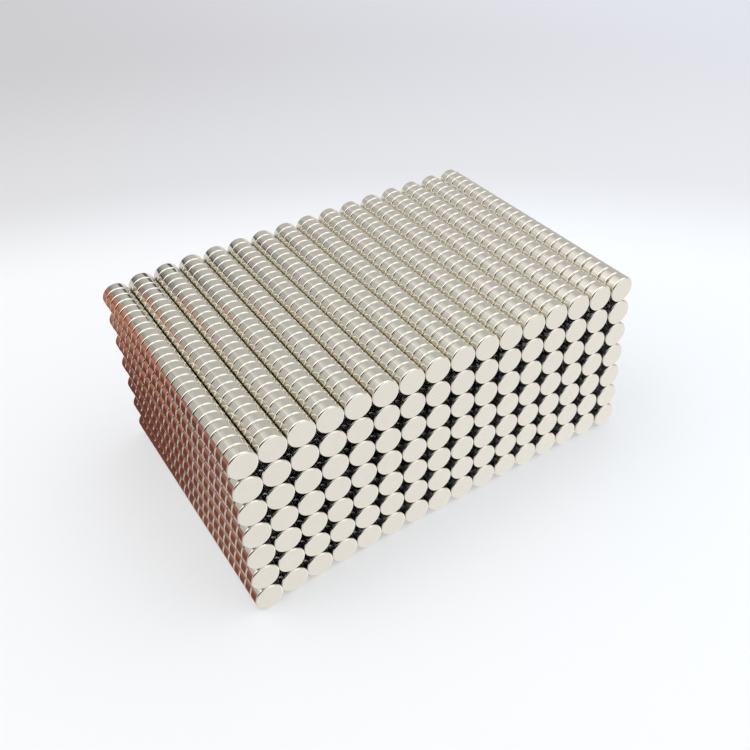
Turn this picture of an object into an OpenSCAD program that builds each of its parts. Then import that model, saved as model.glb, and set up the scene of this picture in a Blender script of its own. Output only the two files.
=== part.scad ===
// Block of stacked disc magnets. Small plated discs hold each other end to
// end as straight rods, and the rods hold each other side by side in rows.
// The rods run along Y, the rows lie one on another along Z, and the block
// lies on its bottom row, with the origin under its middle.

/* [Disc] */
// Outside diameter of one disc
disc_d = 7; // [3:0.1:12]
// Thickness of one disc, along its magnetic axis
disc_t = 3; // [1:0.1:8]
// Radius of the rounded rim at both ends of a disc
rim_r = 0.45; // [0.05:0.05:0.6]
// Flats that round each rim
rim_flats = 2; // [1:1:4]

/* [Block] */
// Discs in one rod
discs_per_rod = 25; // [1:1:30]
// Rods side by side in one row
rods_per_row = 16; // [1:1:16]
// Rows of rods, one on another
row_count = 7; // [1:1:7]

/* [Creep] */
// How far the leftmost rods have slid out in front of the middle ones
creep_left = 2; // [0:0.1:3]
// How far the rightmost rods have slid out in front of the middle ones
creep_right = 0.7; // [0:0.1:3]
// Power by which the slide fades towards the middle of a row
creep_fade = 4; // [1:0.5:8]

/* [Fit] */
// Roughness of the plating that keeps two discs of one rod apart
face_gap = 0.01; // [0.005:0.005:0.1]
// Roughness of the plating that keeps two neighbouring rods apart
side_gap = 0.01; // [0.005:0.005:0.1]

/* [Hidden] */
$fn = 72;
disc_r = disc_d / 2;
round_r = min(rim_r, 0.4 * disc_t, 0.4 * disc_r); // a thin disc keeps some wall between its rims
disc_pitch = disc_t + face_gap;
rod_pitch = disc_d + side_gap;
rod_l = discs_per_rod * disc_pitch - face_gap;
last_rod = rods_per_row - 1;
mid_rod = last_rod / 2;
creeps = [for (i = [0:last_rod]) creep(i)];
front_y = (max(creeps) + min(creeps) - rod_l) / 2;

rods_in_node = 2;
node_count = ceil(rods_per_row / rods_in_node);

function first_rod(pair) = rods_in_node * (pair - 1);
function rods_of(pair) = [first_rod(pair):min(first_rod(pair) + rods_in_node - 1, last_rod)];
function node_name(row, pair) = str("row_", row, "_rods_", first_rod(pair) + 1, "_", first_rod(pair) + rods_in_node);

// How far rod i of a row stands out in front, from nothing at the middle
// to the full creep at either end
function creep(i) =
    let (u = (i - mid_rod) / max(mid_rod, 1))
    (u < 0 ? creep_left : creep_right) * pow(abs(u), creep_fade);

// The quarter round of one rim about its centre (r, z), turned on from start
function rim(r, z, start) = [
    for (k = [0:rim_flats])
        let (a = start + 90 * k / rim_flats)
        [r + round_r * cos(a), z + round_r * sin(a)]
];

// One magnet: a coin with both rims rounded, standing on a flat face
module disc() {
    rotate_extrude()
        polygon(concat(
            [[0, 0]],
            rim(disc_r - round_r, round_r, -90),
            rim(disc_r - round_r, disc_t - round_r, 0),
            [[0, disc_t]]
        ));
}

// One rod of discs, lying along +Y with its front face at Y = 0
module rod() {
    for (k = [0:discs_per_rod - 1])
        translate([0, k * disc_pitch, 0])
            rotate([-90, 0, 0])
                disc();
}

// Two neighbouring rods of opposite polarity, which close their own
// magnetic circuit
module rod_pair(row, pair) {
    color("silver")
        for (i = rods_of(pair))
            translate([(i - mid_rod) * rod_pitch, front_y - creep(i), disc_r + (row - 1) * rod_pitch])
                rod();
}

for (row = [1:row_count], pair = [1:node_count])
    rod_pair(row, pair);
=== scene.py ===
# Block of stacked disc magnets: 112 rods of 25 nickel-plated discs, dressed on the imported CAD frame.
import math

import bpy
import numpy as np
from mathutils import Matrix, Vector


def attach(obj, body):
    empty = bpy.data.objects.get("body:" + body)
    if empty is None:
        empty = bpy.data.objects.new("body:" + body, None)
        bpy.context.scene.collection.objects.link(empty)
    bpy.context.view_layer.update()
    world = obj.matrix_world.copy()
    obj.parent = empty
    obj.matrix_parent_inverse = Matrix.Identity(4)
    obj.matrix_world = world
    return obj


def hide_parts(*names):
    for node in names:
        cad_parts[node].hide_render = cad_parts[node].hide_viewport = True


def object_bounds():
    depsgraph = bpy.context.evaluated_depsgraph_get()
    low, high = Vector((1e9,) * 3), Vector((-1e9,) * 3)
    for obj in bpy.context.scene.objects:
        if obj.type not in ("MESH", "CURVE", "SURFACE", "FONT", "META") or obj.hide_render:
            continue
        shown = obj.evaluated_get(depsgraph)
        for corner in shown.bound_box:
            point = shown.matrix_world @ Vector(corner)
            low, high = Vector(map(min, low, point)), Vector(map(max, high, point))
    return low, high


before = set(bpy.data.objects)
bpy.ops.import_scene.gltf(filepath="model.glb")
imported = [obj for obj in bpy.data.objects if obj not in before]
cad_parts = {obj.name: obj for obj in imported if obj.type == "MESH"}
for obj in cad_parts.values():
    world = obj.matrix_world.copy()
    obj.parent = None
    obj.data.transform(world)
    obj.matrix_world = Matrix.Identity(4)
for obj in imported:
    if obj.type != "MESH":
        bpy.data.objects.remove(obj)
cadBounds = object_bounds()
print("frame loaded:", len(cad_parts), "nodes")


cameraView = {
    "aim": (0.0110, -0.0079, 0.0245),  # from the middle of the block's base, in metres
    "azimuth": -33.4,
    "elevation": 38.12,
    "distance": 0.237,
    "roll": -1.49,
    "lens": 42.46,
    "sensorWidth": 36,
    "shift": (-0.0626, -0.0239),
    "nearest": 0.01,  # nothing closer than this is drawn
}


def addCamera(view):
    data = bpy.data.cameras.new("viewCamera")
    data.lens = view["lens"]
    data.sensor_width = view["sensorWidth"]
    data.shift_x, data.shift_y = view["shift"]
    data.clip_start = view["nearest"]
    camera = bpy.data.objects.new("viewCamera", data)
    bpy.context.scene.collection.objects.link(camera)
    azimuth = math.radians(view["azimuth"])
    elevation = math.radians(view["elevation"])
    back = Vector((math.sin(azimuth) * math.cos(elevation),
                   -math.cos(azimuth) * math.cos(elevation),
                   math.sin(elevation)))
    turn = back.to_track_quat("Z", "Y").to_matrix().to_4x4()
    roll = Matrix.Rotation(math.radians(view["roll"]), 4, "Z")
    place = Matrix.Translation(Vector(view["aim"]) + back * view["distance"])
    camera.matrix_world = place @ turn @ roll
    bpy.context.scene.camera = camera


addCamera(cameraView)
print("camera placed")


def newTree(tree):
    # an empty node tree
    tree.nodes.clear()
    return tree.nodes, tree.links


def addNode(nodes, kind, settings=None, **values):
    node = nodes.new(kind)
    for name, value in (settings or {}).items():
        setattr(node, name, value)
    for name, value in values.items():
        node.inputs[name].default_value = value
    return node


def blend(nodes, links, share, first, second):
    # first where share is 0, second where it is 1; either may be a colour or another node's output
    mix = addNode(nodes, "ShaderNodeMix", {"data_type": "RGBA"})
    links.new(share, mix.inputs["Factor"])
    for name, source in (("A", first), ("B", second)):
        if isinstance(source, tuple):
            mix.inputs[name].default_value = (*source, 1)
        else:
            links.new(source, mix.inputs[name])
    return mix.outputs["Result"]


def ramp(nodes, links, source, low, high):
    step = addNode(nodes, "ShaderNodeMapRange", {"interpolation_type": "SMOOTHSTEP"})
    step.inputs["From Min"].default_value = low
    step.inputs["From Max"].default_value = high
    links.new(source, step.inputs["Value"])
    return step.outputs["Result"]


platingTexture = {
    "hazeScale": 420,
    "hazeDetail": 3,
    "hazeEdges": (0.35, 0.75),  # where the haze's clouds begin and are full
    "hazeByDisc": 0.5,  # how far one disc's haze differs from another's
    "hazeMost": 0.66,
    "grainScale": 9000,  # the fine grain left by tumbling
    "grainDetail": 2,
    "swellScale": 900,  # a slow swell under it
    "swellDetail": 1,
    "sheltered": (0.665, 0.68, 0.71),  # painted shade: cooler and darker between the rods, and duller there
    "shelteredRoughness": 0.20,
    "shelterEdge": 0.1,  # radians either side of the line where two rods touch
    "contactShade": (0.44, 0.44, 0.445),  # painted shade along the lines where two rods touch
    "contactShadeEdges": (21, 15),  # degrees round the rod where the painted shade begins and is full
}


def platingGroup(texture):
    # the group that both nickel finishes share: haze and grain, with painted shade between the rods and
    # where they touch
    group = bpy.data.node_groups.new("platingFinishAndShade", "ShaderNodeTree")
    sockets = group.interface
    sockets.new_socket("Plating", in_out="INPUT", socket_type="NodeSocketColor")
    sockets.new_socket("Haze", in_out="INPUT", socket_type="NodeSocketColor")
    sockets.new_socket("Gloss", in_out="INPUT", socket_type="NodeSocketFloat")
    sockets.new_socket("Gloss Spread", in_out="INPUT", socket_type="NodeSocketFloat")
    sockets.new_socket("Grain", in_out="INPUT", socket_type="NodeSocketFloat")
    sockets.new_socket("Color", in_out="OUTPUT", socket_type="NodeSocketColor")
    sockets.new_socket("Roughness", in_out="OUTPUT", socket_type="NodeSocketFloat")
    sockets.new_socket("Height", in_out="OUTPUT", socket_type="NodeSocketFloat")

    nodes, links = group.nodes, group.links
    entry = nodes.new("NodeGroupInput")
    leave = nodes.new("NodeGroupOutput")
    place = nodes.new("ShaderNodeTexCoord")
    tone = addNode(nodes, "ShaderNodeAttribute", {"attribute_name": "discTone"})
    opening = addNode(nodes, "ShaderNodeAttribute", {"attribute_name": "openAngle"})

    # a soft cloud of haze, different on each disc, which covers more of some discs than of others
    cloud = addNode(nodes, "ShaderNodeTexNoise", {"noise_dimensions": "4D"},
                    Scale=texture["hazeScale"], Detail=texture["hazeDetail"])
    links.new(place.outputs["Object"], cloud.inputs["Vector"])
    links.new(tone.outputs["Fac"], cloud.inputs["W"])
    cloudMask = ramp(nodes, links, cloud.outputs["Fac"], *texture["hazeEdges"])
    cover = addNode(nodes, "ShaderNodeMath", {"operation": "MULTIPLY_ADD"})
    links.new(tone.outputs["Fac"], cover.inputs[0])
    cover.inputs[1].default_value = texture["hazeByDisc"]
    links.new(cloudMask, cover.inputs[2])
    coverShare = addNode(nodes, "ShaderNodeMath", {"operation": "MULTIPLY", "use_clamp": True})
    coverShare.inputs[1].default_value = texture["hazeMost"]
    links.new(cover.outputs["Value"], coverShare.inputs[0])
    haze = coverShare.outputs["Value"]

    # painted shade between the rods: a cooler colour there, with duller plating, and a darker colour along
    # the lines where they touch
    shelter = ramp(nodes, links, opening.outputs["Fac"], texture["shelterEdge"], -texture["shelterEdge"])
    apart = addNode(nodes, "ShaderNodeMath", {"operation": "ABSOLUTE"})
    links.new(opening.outputs["Fac"], apart.inputs[0])
    contactShadeStart, contactShadeFull = (math.radians(edge) for edge in texture["contactShadeEdges"])
    contactShade = ramp(nodes, links, apart.outputs["Value"], contactShadeStart, contactShadeFull)
    tint = blend(nodes, links, haze, entry.outputs["Plating"], entry.outputs["Haze"])
    cooler = blend(nodes, links, shelter, tint, texture["sheltered"])
    color = blend(nodes, links, contactShade, cooler, texture["contactShade"])
    links.new(color, leave.inputs["Color"])

    spread = addNode(nodes, "ShaderNodeMath", {"operation": "MULTIPLY_ADD"})
    links.new(haze, spread.inputs[0])
    links.new(entry.outputs["Gloss Spread"], spread.inputs[1])
    links.new(entry.outputs["Gloss"], spread.inputs[2])
    duller = addNode(nodes, "ShaderNodeMix", {"data_type": "FLOAT"}, B=texture["shelteredRoughness"])
    links.new(shelter, duller.inputs["Factor"])
    links.new(spread.outputs["Value"], duller.inputs["A"])
    links.new(duller.outputs["Result"], leave.inputs["Roughness"])

    grain = addNode(nodes, "ShaderNodeTexNoise", None,
                    Scale=texture["grainScale"], Detail=texture["grainDetail"])
    swell = addNode(nodes, "ShaderNodeTexNoise", None,
                    Scale=texture["swellScale"], Detail=texture["swellDetail"])
    links.new(place.outputs["Object"], grain.inputs["Vector"])
    links.new(place.outputs["Object"], swell.inputs["Vector"])
    relief = addNode(nodes, "ShaderNodeMath", {"operation": "MULTIPLY_ADD"})
    links.new(grain.outputs["Fac"], relief.inputs[0])
    links.new(entry.outputs["Grain"], relief.inputs[1])
    links.new(swell.outputs["Fac"], relief.inputs[2])
    links.new(relief.outputs["Value"], leave.inputs["Height"])
    return group


def nickelMaterial(name, finish, group):
    material = bpy.data.materials.new(name)
    material.use_nodes = True
    nodes, links = newTree(material.node_tree)
    output = nodes.new("ShaderNodeOutputMaterial")
    shader = addNode(nodes, "ShaderNodeBsdfPrincipled", None, Metallic=1.0)
    plating = addNode(nodes, "ShaderNodeGroup", {"node_tree": group})
    plating.inputs["Plating"].default_value = (*finish["plating"], 1)
    plating.inputs["Haze"].default_value = (*finish["haze"], 1)
    plating.inputs["Gloss"].default_value = finish["roughness"]
    plating.inputs["Gloss Spread"].default_value = finish["roughnessSpread"]
    plating.inputs["Grain"].default_value = finish["grain"]
    bump = addNode(nodes, "ShaderNodeBump", None, Strength=1.0, Distance=finish["relief"])
    links.new(plating.outputs["Height"], bump.inputs["Height"])
    links.new(plating.outputs["Color"], shader.inputs["Base Color"])
    links.new(plating.outputs["Roughness"], shader.inputs["Roughness"])
    links.new(bump.outputs["Normal"], shader.inputs["Normal"])
    links.new(shader.outputs["BSDF"], output.inputs["Surface"])
    return material


nickelWall = {
    "plating": (0.745, 0.702, 0.61),
    "haze": (0.72, 0.675, 0.58),
    "roughness": 0.075,
    "roughnessSpread": 0.05,
    "grain": 0.12,
    "relief": 0.000002,
}
nickelFace = {
    "plating": (0.755, 0.715, 0.625),
    "haze": (0.735, 0.695, 0.605),
    "roughness": 0.24,
    "roughnessSpread": 0.06,
    "grain": 0.25,
    "relief": 0.000002,
}

plating = platingGroup(platingTexture)
wallNickel = nickelMaterial("wallNickel", nickelWall, plating)
faceNickel = nickelMaterial("faceNickel", nickelFace, plating)
print("nickel finishes made")


magnet = {
    "discsPerRod": 25,
    "faceGap": 0.00001,  # what the plating keeps between two discs of a rod
    "rimRadius": 0.00045,
    "outerSegments": 32,  # discs on the outside of the block
    "outerRimSteps": 3,
    "innerSegments": 20,  # discs inside it, seen only through the gaps
    "innerRimSteps": 1,
    "wallLean": 0.3,  # the most that a wall's normal leans along the rod; a rim's leans more
    "toneSeed": 11,
}
rowCount = 7
rodsPerRow = 16


def discForm(radius, thickness, rimRadius, segments, rimSteps):
    # one disc about the Y axis: its points, true normals and faces, the two flat faces last
    turns = np.linspace(0, math.pi / 2, rimSteps + 1)
    front = [(radius - rimRadius + rimRadius * math.sin(turn),
              rimRadius - rimRadius * math.cos(turn),
              math.sin(turn), -math.cos(turn)) for turn in turns]
    back = [(r, thickness - y, across, -along) for r, y, across, along in reversed(front)]
    rings = front + back
    points, normals, faces = [], [], []
    for r, y, across, along in rings:
        for step in range(segments):
            angle = 2 * math.pi * step / segments
            points.append((r * math.cos(angle), y, r * math.sin(angle)))
            normals.append((across * math.cos(angle), along, across * math.sin(angle)))
    for ring in range(len(rings) - 1):
        for step in range(segments):
            here = ring * segments + step
            beside = ring * segments + (step + 1) % segments
            faces.append((here, here + segments, beside + segments, beside))
    last = (len(rings) - 1) * segments
    faces.append(tuple(range(segments)))
    faces.append(tuple(reversed(range(last, last + segments))))
    return np.array(points), np.array(normals), faces


def discOf(forms, outside, radius, thickness):
    # the two forms of disc are made once, from the first rod's size
    if outside not in forms:
        kind = "outer" if outside else "inner"
        points, normals, faces = discForm(radius, thickness, magnet["rimRadius"],
                                          magnet[kind + "Segments"], magnet[kind + "RimSteps"])
        forms[outside] = {"points": points, "normals": normals, "faces": faces}
    return forms[outside]


def rodsOf(node):
    # the left and right rod of a CAD node: centre line, front end and length
    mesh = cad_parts[node].data
    flat = np.empty(len(mesh.vertices) * 3, np.float32)
    mesh.vertices.foreach_get("co", flat)
    points = flat.reshape(-1, 3).astype(float)
    middle = (points[:, 0].min() + points[:, 0].max()) / 2
    rods = []
    for half in (points[points[:, 0] < middle], points[points[:, 0] > middle]):
        low, high = half.min(axis=0), half.max(axis=0)
        rods.append({
            "x": (low[0] + high[0]) / 2,
            "z": (low[2] + high[2]) / 2,
            "front": low[1],
            "length": high[1] - low[1],
            "radius": (high[2] - low[2]) / 2,
        })
    return rods


def openAngles(points, normals, row, rod):
    # how far each point stands round its rod from the nearest line where two rods touch, in radians:
    # above 0 where the wall faces out of the block, below 0 where it faces other rods
    quarter = math.pi / 2
    touching = [rod < rodsPerRow, row < rowCount, rod > 1, row > 1]  # on the right, above, left and below
    closed = np.array([touches and touching[(turn + 1) % 4] for turn, touches in enumerate(touching)])
    angles = np.arctan2(points[:, 2], points[:, 0]) % (4 * quarter)
    contacts = quarter * np.flatnonzero(touching)
    turns = (angles[:, None] - contacts + 2 * quarter) % (4 * quarter) - 2 * quarter
    apart = abs(turns).min(axis=1)
    inQuarter = (angles // quarter).astype(int) % 4
    away = np.where(closed[inQuarter], -apart, apart)
    onWall = abs(normals[:, 1]) < magnet["wallLean"]
    return np.where(onWall, away, quarter)  # rims and flat faces count as open


def addRodPair(row, firstRod, forms, random):
    node = f"row_{row}_rods_{firstRod}_{firstRod + 1}"
    points, normals, tones, openings, faces, flatFaces = [], [], [], [], [], []
    start = 0
    for side, rod in enumerate(rodsOf(node)):
        thickness = (rod["length"] + magnet["faceGap"]) / magnet["discsPerRod"] - magnet["faceGap"]
        edgeRod = row in (1, rowCount) or firstRod + side in (1, rodsPerRow)
        for number in range(magnet["discsPerRod"]):
            outside = edgeRod or number in (0, magnet["discsPerRod"] - 1)
            form = discOf(forms, outside, rod["radius"], thickness)
            spin = random.uniform(0, 2 * math.pi)
            turn = np.array(Matrix.Rotation(spin, 3, "Y"))
            place = (rod["x"], rod["front"] + number * (thickness + magnet["faceGap"]), rod["z"])
            turned = form["points"] @ turn.T
            points.append(turned + place)
            normals.append(form["normals"] @ turn.T)
            openings.append(openAngles(turned, normals[-1], row, firstRod + side))
            tones.append(np.full(len(form["points"]), random.uniform(0, 1)))
            faces += [tuple(start + corner for corner in face) for face in form["faces"]]
            flatFaces += [0] * (len(form["faces"]) - 2) + [1, 1]
            start += len(form["points"])
    mesh = bpy.data.meshes.new(node + "_dressed")
    mesh.from_pydata(np.concatenate(points).tolist(), [], faces)
    mesh.materials.append(wallNickel)
    mesh.materials.append(faceNickel)
    mesh.polygons.foreach_set("material_index", flatFaces)
    mesh.polygons.foreach_set("use_smooth", [True] * len(faces))
    tone = mesh.attributes.new("discTone", "FLOAT", "POINT")
    tone.data.foreach_set("value", np.concatenate(tones).astype(np.float32))
    opening = mesh.attributes.new("openAngle", "FLOAT", "POINT")
    opening.data.foreach_set("value", np.concatenate(openings).astype(np.float32))
    mesh.normals_split_custom_set_from_vertices(np.concatenate(normals).tolist())
    piece = bpy.data.objects.new(node + "_dressed", mesh)
    bpy.context.scene.collection.objects.link(piece)
    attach(piece, "root")
    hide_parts(node)


discForms = {}
random = np.random.default_rng(magnet["toneSeed"])
for row in range(1, rowCount + 1):
    for firstRod in range(1, rodsPerRow + 1, 2):
        addRodPair(row, firstRod, discForms, random)
print("magnets made")


floorSweep = {
    "radius": 4.0,
    "near": (0.91, 0.91, 0.915),
    "nearRight": (0.915, 0.935, 0.957),  # the cooler side
    # far and farRight: the paper's colour with painted shade, darker far behind the block
    "far": (0.58, 0.57, 0.58),
    "farRight": (0.73, 0.735, 0.78),
    "nearTurn": (-0.10, 0.12),  # where along X the paper turns cooler, close to the block
    "farTurn": (-0.05, 0.40),  # and far behind it
    "center": (-0.22, -0.334, 0.0),  # the middle of the painted pool of light on the sweep
    "fades": [(0.487, 0.567, 0.55), (0.51, 0.75, 0.45)],  # start, end and share of each painted fade into shade round it
    "roughness": 0.9,
    "sheen": 0.1,
    "sides": 96,
    "glow": 0.40,  # share of the contact shadow that the paper hides from the camera
}


def floorMaterial(sweep):
    material = bpy.data.materials.new("paperSweep")
    material.use_nodes = True
    nodes, links = newTree(material.node_tree)
    output = nodes.new("ShaderNodeOutputMaterial")
    shader = addNode(nodes, "ShaderNodeBsdfPrincipled", None, Roughness=sweep["roughness"])
    shader.inputs["Specular IOR Level"].default_value = sweep["sheen"]
    place = nodes.new("ShaderNodeTexCoord")
    spot = nodes.new("ShaderNodeSeparateXYZ")
    links.new(place.outputs["Object"], spot.inputs["Vector"])

    # paper that is cooler to the right of the block, with painted light on it: a painted pool of light
    # round the centre, and painted shade darker far behind the block
    nearSide = ramp(nodes, links, spot.outputs["X"], *sweep["nearTurn"])
    farSide = ramp(nodes, links, spot.outputs["X"], *sweep["farTurn"])
    near = blend(nodes, links, nearSide, sweep["near"], sweep["nearRight"])
    far = blend(nodes, links, farSide, sweep["far"], sweep["farRight"])
    gap = addNode(nodes, "ShaderNodeVectorMath", {"operation": "DISTANCE"})
    gap.inputs[1].default_value = sweep["center"]
    links.new(place.outputs["Object"], gap.inputs[0])
    away = None
    for start, end, share in sweep["fades"]:
        step = addNode(nodes, "ShaderNodeMath", {"operation": "MULTIPLY_ADD"})
        links.new(ramp(nodes, links, gap.outputs["Value"], start, end), step.inputs[0])
        step.inputs[1].default_value = share
        step.inputs[2].default_value = 0.0
        if away:
            links.new(away, step.inputs[2])
        away = step.outputs["Value"]
    paper = blend(nodes, links, away, near, far)
    links.new(paper, shader.inputs["Base Color"])

    rays = nodes.new("ShaderNodeLightPath")
    glow = nodes.new("ShaderNodeEmission")
    links.new(paper, glow.inputs["Color"])
    share = addNode(nodes, "ShaderNodeMath", {"operation": "MULTIPLY"})
    links.new(rays.outputs["Is Camera Ray"], share.inputs[0])
    share.inputs[1].default_value = sweep["glow"]
    join = nodes.new("ShaderNodeMixShader")
    links.new(share.outputs["Value"], join.inputs["Fac"])
    links.new(shader.outputs["BSDF"], join.inputs[1])
    links.new(glow.outputs["Emission"], join.inputs[2])
    links.new(join.outputs["Shader"], output.inputs["Surface"])
    return material


def addFloor(sweep):
    bpy.ops.mesh.primitive_circle_add(vertices=sweep["sides"], radius=sweep["radius"], fill_type="NGON")
    floor = bpy.context.object
    floor.name = "studioFloor"
    floor.location.z = cadBounds[0].z
    floor.visible_glossy = False  # the plating mirrors the studio's own floor, in the world
    floor.data.materials.append(floorMaterial(sweep))


addFloor(floorSweep)
print("floor laid")


studioLight = {
    "wall": (0.635, 0.645, 0.66),  # what the metal sees around the block
    "background": (0.80, 0.80, 0.815),
    # the floor that the plating mirrors: dim behind, lit in front, brightest where the lamps stand
    "floorDim": (0.60, 0.59, 0.59),
    "floorPatches": [
        {"color": (1.02, 1.03, 1.06), "azimuth": 147, "elevation": -38, "inner": 30, "outer": 100},
        {"color": (1.40, 1.42, 1.46), "azimuth": 85, "elevation": -50, "inner": 5, "outer": 38},
        {"color": (1.40, 1.42, 1.46), "azimuth": 168, "elevation": -3, "inner": 8, "outer": 28},
        {"color": (1.02, 0.90, 0.87), "azimuth": 8, "elevation": -64, "inner": 10, "outer": 27},
    ],
    # warm cards to the left of the block, across floor and wall
    "warmPatches": [
        {"color": (0.235, 0.085, 0.063), "azimuth": -33, "elevation": -22, "inner": 27, "outer": 35},
        {"color": (0.42, 0.19, 0.14), "azimuth": -47, "elevation": -4, "inner": 4, "outer": 13},
    ],
    # soft boxes in the world: azimuth and elevation they stand at, inner and outer radius, and strength
    "boxes": [
        {"azimuth": -30, "elevation": 78, "inner": 0, "outer": 44, "strength": 0.8},
        {"azimuth": -75, "elevation": 47, "inner": 0, "outer": 34, "strength": 1.9},
        {"azimuth": 84, "elevation": 60, "inner": 0, "outer": 31, "strength": 1.2},
        {"azimuth": 125, "elevation": 46, "inner": 0, "outer": 30, "strength": 1.1},
        {"azimuth": 165, "elevation": 63, "inner": 0, "outer": 30, "strength": 0.8},
        {"azimuth": 150, "elevation": 0, "inner": 2, "outer": 35, "strength": 1.2},
        {"azimuth": -45, "elevation": 69, "inner": 0, "outer": 20, "strength": 1.7},
        {"azimuth": -22, "elevation": 44, "inner": 0, "outer": 15, "strength": 0.25},
    ],
    # dark cards: the same, with the share of the light that they take away
    "cards": [
        {"azimuth": -128, "elevation": 14, "inner": 26, "outer": 43, "strength": 1.0},
        {"azimuth": -8, "elevation": 3, "inner": 13, "outer": 36, "strength": 1.0},
    ],
    # a seam between two sheets of the light tent, through two directions
    "seam": {"start": (-21, 33), "end": (-32, 48), "width": 2.2, "inner": 8, "outer": 24, "strength": 0.45},
    "horizon": 0.01,  # half the height over which floor turns into wall
}
# cards close to the block, which only the plating sees: four corners each, and the colour at each corner
nearCards = {
    "warmFloor": [
        ((-0.120, 0.006, 0.0004), (0.22, 0.078, 0.058)),
        ((-0.0590, 0.006, 0.0004), (0.22, 0.078, 0.058)),
        ((-0.0535, 0.090, 0.0004), (0.15, 0.043, 0.030)),
        ((-0.120, 0.090, 0.0004), (0.15, 0.043, 0.030)),
    ],
    "warmLow": [
        ((-0.125, 0.063, 0.001), (0.15, 0.043, 0.030)),
        ((-0.0400, 0.059, 0.001), (0.15, 0.043, 0.030)),
        ((-0.0400, 0.059, 0.018), (0.22, 0.074, 0.053)),
        ((-0.125, 0.063, 0.018), (0.22, 0.074, 0.053)),
    ],
    "warmHigh": [
        ((-0.125, 0.063, 0.018), (0.22, 0.074, 0.053)),
        ((-0.0600, 0.059, 0.018), (0.22, 0.074, 0.053)),
        ((-0.0600, 0.059, 0.050), (0.66, 0.29, 0.205)),
        ((-0.125, 0.063, 0.050), (0.66, 0.29, 0.205)),
    ],
    "warmTop": [
        ((-0.110, 0.063, 0.0505), (0.40, 0.125, 0.085)),
        ((-0.064, 0.059, 0.0505), (0.40, 0.125, 0.085)),
        ((-0.064, 0.059, 0.070), (0.72, 0.40, 0.31)),
        ((-0.110, 0.063, 0.070), (0.72, 0.40, 0.31)),
    ],
    "darkTop": [
        ((-0.059, 0.058, 0.0505), (0.12, 0.115, 0.11)),
        ((-0.022, 0.057, 0.0505), (0.12, 0.115, 0.11)),
        ((-0.022, 0.057, 0.0585), (0.12, 0.115, 0.11)),
        ((-0.059, 0.058, 0.0585), (0.12, 0.115, 0.11)),
    ],
    # a pale one right behind the back faces, which keeps the others out of them
    "paleBack": [
        ((-0.0575, 0.042, -0.060), (0.64, 0.645, 0.66)),
        ((0.0600, 0.042, -0.060), (0.74, 0.745, 0.76)),
        ((0.0600, 0.042, 0.0495), (0.98, 0.98, 0.99)),
        ((-0.0575, 0.042, 0.0495), (0.84, 0.845, 0.86)),
    ],
}


def direction(azimuth, elevation):
    # azimuth 0 is +Y, behind the block, and 90 is +X
    a, e = math.radians(azimuth), math.radians(elevation)
    return Vector((math.sin(a) * math.cos(e), math.cos(a) * math.cos(e), math.sin(e)))


def patchMask(nodes, links, compass, patch):
    # 1 inside the patch's inner radius, 0 outside its outer one
    facing = addNode(nodes, "ShaderNodeVectorMath", {"operation": "DOT_PRODUCT"})
    links.new(compass.outputs["Vector"], facing.inputs[0])
    facing.inputs[1].default_value = direction(patch["azimuth"], patch["elevation"])
    outer = math.cos(math.radians(patch["outer"]))
    inner = math.cos(math.radians(patch["inner"]))
    return ramp(nodes, links, facing.outputs["Value"], outer, inner)


def seamMask(nodes, links, compass, seam):
    # 1 on the plane through both directions, near the middle between them
    start, end = direction(*seam["start"]), direction(*seam["end"])
    side = addNode(nodes, "ShaderNodeVectorMath", {"operation": "DOT_PRODUCT"})
    links.new(compass.outputs["Vector"], side.inputs[0])
    side.inputs[1].default_value = start.cross(end).normalized()
    apart = addNode(nodes, "ShaderNodeMath", {"operation": "ABSOLUTE"})
    links.new(side.outputs["Value"], apart.inputs[0])
    line = ramp(nodes, links, apart.outputs["Value"], math.sin(math.radians(seam["width"])), 0.0)
    azimuth, elevation = ((a + b) / 2 for a, b in zip(seam["start"], seam["end"]))
    middle = {"azimuth": azimuth, "elevation": elevation, "inner": seam["inner"], "outer": seam["outer"]}
    around = patchMask(nodes, links, compass, middle)
    both = addNode(nodes, "ShaderNodeMath", {"operation": "MULTIPLY"})
    links.new(line, both.inputs[0])
    links.new(around, both.inputs[1])
    return both.outputs["Value"]


def takeAway(nodes, links, level, mask, strength):
    keep = addNode(nodes, "ShaderNodeMath", {"operation": "MULTIPLY_ADD"})
    links.new(mask, keep.inputs[0])
    keep.inputs[1].default_value = -strength
    keep.inputs[2].default_value = 1.0
    dim = addNode(nodes, "ShaderNodeMath", {"operation": "MULTIPLY"})
    links.new(level.outputs[0], dim.inputs[0])
    links.new(keep.outputs[0], dim.inputs[1])
    return dim


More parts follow.
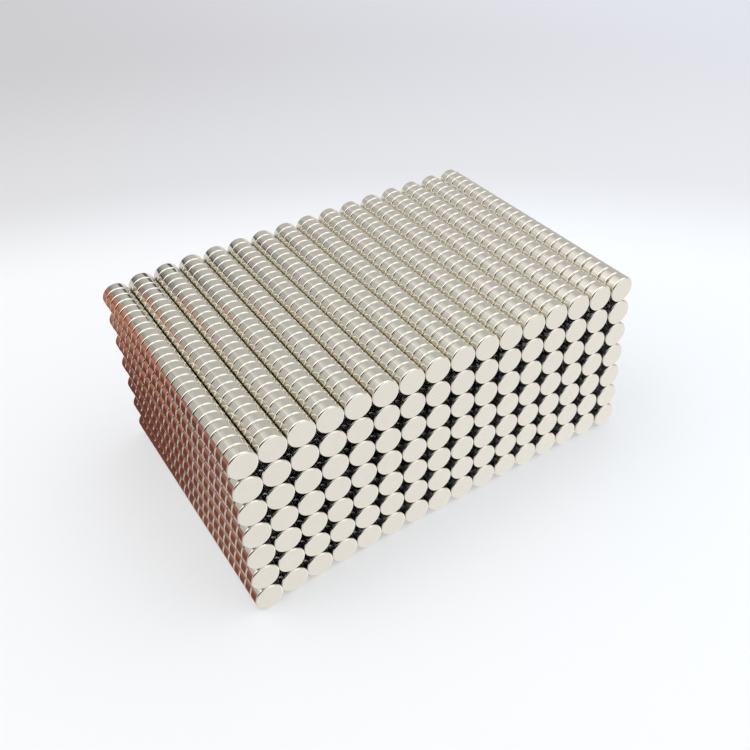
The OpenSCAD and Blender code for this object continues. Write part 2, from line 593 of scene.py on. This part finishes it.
def addWorld(studio):
    world = bpy.data.worlds.new("studio")
    bpy.context.scene.world = world
    world.use_nodes = True
    nodes, links = newTree(world.node_tree)
    output = nodes.new("ShaderNodeOutputWorld")
    place = nodes.new("ShaderNodeTexCoord")
    compass = addNode(nodes, "ShaderNodeVectorMath", {"operation": "NORMALIZE"})
    links.new(place.outputs["Generated"], compass.inputs[0])
    level = addNode(nodes, "ShaderNodeValue")
    level.outputs[0].default_value = 1.0
    for box in studio["boxes"]:
        mask = patchMask(nodes, links, compass, box)
        add = addNode(nodes, "ShaderNodeMath", {"operation": "MULTIPLY_ADD"})
        links.new(mask, add.inputs[0])
        add.inputs[1].default_value = box["strength"]
        links.new(level.outputs[0], add.inputs[2])
        level = add
    for card in studio["cards"]:
        mask = patchMask(nodes, links, compass, card)
        level = takeAway(nodes, links, level, mask, card["strength"])
    line = seamMask(nodes, links, compass, studio["seam"])
    level = takeAway(nodes, links, level, line, studio["seam"]["strength"])
    above = addNode(nodes, "ShaderNodeVectorMath", {"operation": "SCALE"})
    above.inputs[0].default_value = studio["wall"]
    links.new(level.outputs[0], above.inputs["Scale"])
    below = studio["floorDim"]
    for patch in studio["floorPatches"]:
        mask = patchMask(nodes, links, compass, patch)
        below = blend(nodes, links, mask, below, patch["color"])
    height = nodes.new("ShaderNodeSeparateXYZ")
    links.new(compass.outputs["Vector"], height.inputs["Vector"])
    horizon = ramp(nodes, links, height.outputs["Z"], -studio["horizon"], studio["horizon"])
    around = blend(nodes, links, horizon, below, above.outputs["Vector"])
    for patch in studio["warmPatches"]:
        mask = patchMask(nodes, links, compass, patch)
        around = blend(nodes, links, mask, around, patch["color"])
    wall = addNode(nodes, "ShaderNodeBackground")
    links.new(around, wall.inputs["Color"])
    behind = addNode(nodes, "ShaderNodeBackground")
    behind.inputs["Color"].default_value = (*studio["background"], 1)
    rays = nodes.new("ShaderNodeLightPath")
    choose = nodes.new("ShaderNodeMixShader")
    links.new(rays.outputs["Is Camera Ray"], choose.inputs["Fac"])
    links.new(wall.outputs["Background"], choose.inputs[1])
    links.new(behind.outputs["Background"], choose.inputs[2])
    links.new(choose.outputs["Shader"], output.inputs["Surface"])


def cardMaterial():
    material = bpy.data.materials.new("nearCard")
    material.use_nodes = True
    nodes, links = newTree(material.node_tree)
    output = nodes.new("ShaderNodeOutputMaterial")
    color = addNode(nodes, "ShaderNodeAttribute", {"attribute_name": "cardColor"})
    glow = nodes.new("ShaderNodeEmission")
    links.new(color.outputs["Color"], glow.inputs["Color"])
    links.new(glow.outputs["Emission"], output.inputs["Surface"])
    return material


def addNearCard(name, corners, material):
    mesh = bpy.data.meshes.new(name)
    mesh.from_pydata([point for point, color in corners], [], [(0, 1, 2, 3)])
    mesh.materials.append(material)
    tint = mesh.attributes.new("cardColor", "FLOAT_COLOR", "POINT")
    tint.data.foreach_set("color", [value for point, color in corners for value in (*color, 1)])
    sheet = bpy.data.objects.new(name, mesh)
    bpy.context.collection.objects.link(sheet)
    sheet.visible_camera = False
    sheet.visible_diffuse = False
    sheet.visible_shadow = False


addWorld(studioLight)
nearCard = cardMaterial()
for name, corners in nearCards.items():
    addNearCard(name, corners, nearCard)
bpy.context.scene.view_settings.view_transform = "Standard"
print("studio lit")
